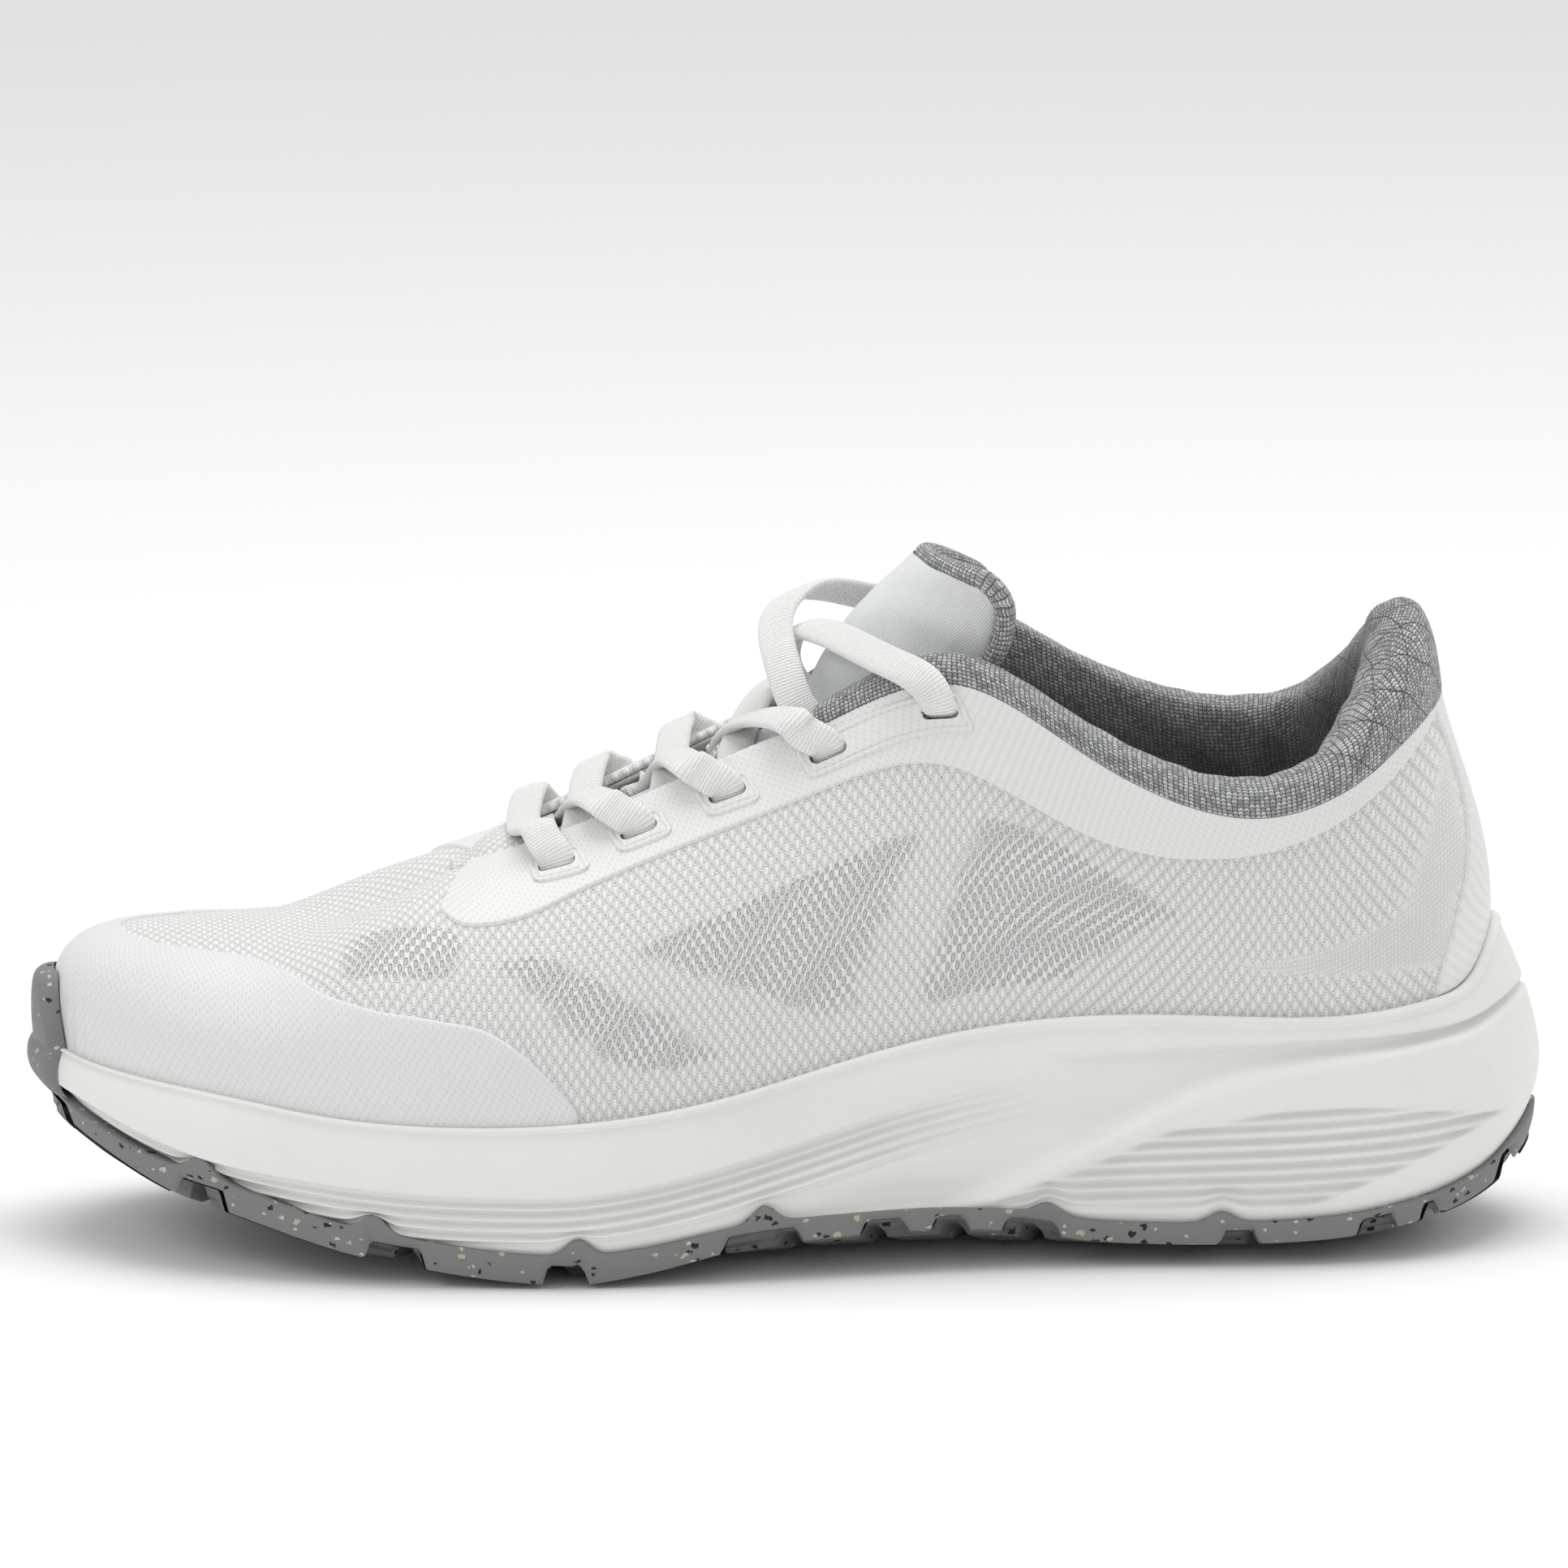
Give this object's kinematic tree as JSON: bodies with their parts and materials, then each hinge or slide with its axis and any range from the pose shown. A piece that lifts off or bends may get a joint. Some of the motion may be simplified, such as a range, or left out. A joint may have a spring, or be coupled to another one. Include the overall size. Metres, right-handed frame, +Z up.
{
  "type": "running shoe",
  "caption": "Low-cut lace-up running shoe for the left foot with a cushioned wedge sole, a mesh upper and a padded collar.",
  "frame": {"origin": "on the ground plane, under the centre of the shoe's length and width", "axes": "+X from toe to heel, +Z up, -Y towards the lateral (outer) side of the left foot"},
  "size_m": [0.2992, 0.107, 0.1362],
  "materials": {
    "speckled_rubber": "matt moulded rubber with dark, cream and white chips",
    "midsole_foam": "moulded EVA foam, satin skin, fine dotted texture in the ribs",
    "board_fabric": "non-woven lasting board",
    "insole_foam": "foam footbed with knit cover",
    "knit_mesh": "engineered knit mesh with small rings and open windows",
    "liner_fabric": "thin tricot liner",
    "white_film": "fused polymer film with fine embossed dashes",
    "toe_film": "satin fused film, slightly puckered",
    "backing_fabric": "non-woven reinforcement",
    "soft_foam": "open-cell foam",
    "melange_knit": "silver-grey melange knit",
    "stiffener": "moulded stiffener sheet",
    "tongue_satin": "fine twill satin, pale bluish white",
    "lace_weave": "flat ribbed polyester lace",
    "webbing": "narrow woven tape",
    "clear_tip": "crimped polymer film"
  },
  "bodies": {
    "shoe": {"outsole": "speckled_rubber", "midsole": "midsole_foam", "strobel_board": "board_fabric", "insole": "insole_foam", "vamp_mesh": "knit_mesh", "quarter_mesh_lateral": "knit_mesh", "quarter_mesh_medial": "knit_mesh", "vamp_liner": "liner_fabric", "quarter_liner_lateral": "liner_fabric", "quarter_liner_medial": "liner_fabric", "eyestay_film_lateral": "white_film", "eyestay_film_medial": "white_film", "toe_film": "toe_film", "heel_film": "white_film", "eyelet_patches_lateral": "white_film", "eyelet_patches_medial": "white_film", "eyestay_backing_lateral": "backing_fabric", "eyestay_backing_medial": "backing_fabric", "collar_foam_lateral": "soft_foam", "collar_foam_medial": "soft_foam", "collar_lining": "melange_knit", "toe_puff": "stiffener", "heel_counter": "stiffener", "tongue_lower_face": "tongue_satin", "tongue_lower_foam": "soft_foam", "tongue_lower_backing": "melange_knit", "lace": "lace_weave", "lace_keeper": "webbing", "lace_aglet_lateral": "clear_tip", "lace_aglet_medial": "clear_tip"},
    "tongue_flap": {"tongue_flap_face": "tongue_satin", "tongue_flap_foam": "soft_foam", "tongue_flap_backing": "melange_knit", "tongue_binding": "melange_knit"}
  },
  "joints": [
    {"name": "tongue_flex", "type": "hinge", "parent": "shoe", "child": "tongue_flap", "pos_m": [0.01, 0, 0.1005], "axis": [0, 1, 0], "range_deg": [-4, 12], "stiffness_Nm_per_rad": 0.02}
  ]
}
